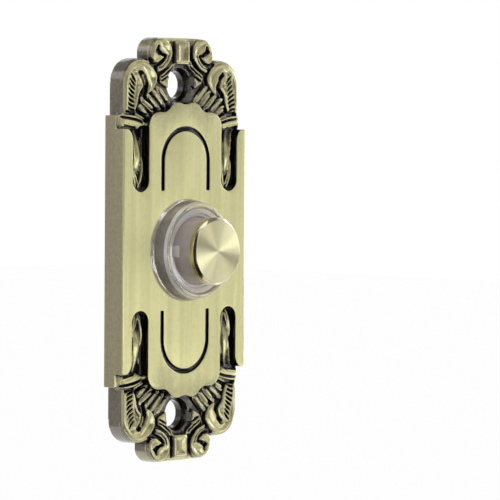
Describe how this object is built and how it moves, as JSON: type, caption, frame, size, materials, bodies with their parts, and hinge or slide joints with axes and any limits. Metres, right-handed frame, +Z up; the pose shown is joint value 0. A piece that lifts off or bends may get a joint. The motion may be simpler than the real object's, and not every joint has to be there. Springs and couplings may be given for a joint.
{
  "type": "doorbell push button",
  "caption": "Ornate antique-brass doorbell push button: tall scrollwork plate with a clear lighted ring round a sprung brass-capped plunger.",
  "frame": {"origin": "on the wall plane at the back of the face plate, on the button's axis, midway between the two screw holes", "axes": "+X to the right across the plate seen from the front, +Z up along the plate's length, -Y out from the wall towards the person who presses, +Y into the wall"},
  "size_m": [0.04, 0.0276, 0.096],
  "materials": {
    "antique_brass": "cast, black patina left in the hollows, high places brushed and lacquered",
    "turned_brass": "turned with a fine spun face, lacquered",
    "clear_acrylic": "clear, moulded, glossy",
    "black_phenolic": "moulded, slight sheen",
    "board_laminate": "solder mask on glass laminate",
    "lamp_body": "moulded lamp with a yellow lens",
    "black_ceramic": "glazed chip",
    "tinned_wire": "tinned copper",
    "contact_bronze": "stamped strip with a silver pad",
    "plated_steel": "nickel plated",
    "spring_steel": "drawn wire"
  },
  "bodies": {
    "housing": {"faceplate": "antique_brass", "light_ring": "clear_acrylic", "switch_body": "black_phenolic", "body_base": "black_phenolic", "led_board": "board_laminate", "led_1": "lamp_body", "led_2": "lamp_body", "led_3": "lamp_body", "led_4": "lamp_body", "board_resistor": "black_ceramic", "board_lead_left": "tinned_wire", "board_lead_right": "tinned_wire", "fixed_contact_left": "contact_bronze", "fixed_contact_right": "contact_bronze", "terminal_screw_left": "plated_steel", "terminal_screw_right": "plated_steel", "return_spring": "spring_steel"},
    "button": {"plunger": "clear_acrylic", "push_cap": "turned_brass", "contact_bridge": "contact_bronze"}
  },
  "joints": [
    {"name": "press", "type": "slide", "parent": "housing", "child": "button", "axis": [0, 1, 0], "range_m": [0, 0.0015], "stiffness_N_per_m": 250, "springref_m": -0.004, "deforming": ["return_spring"]}
  ]
}
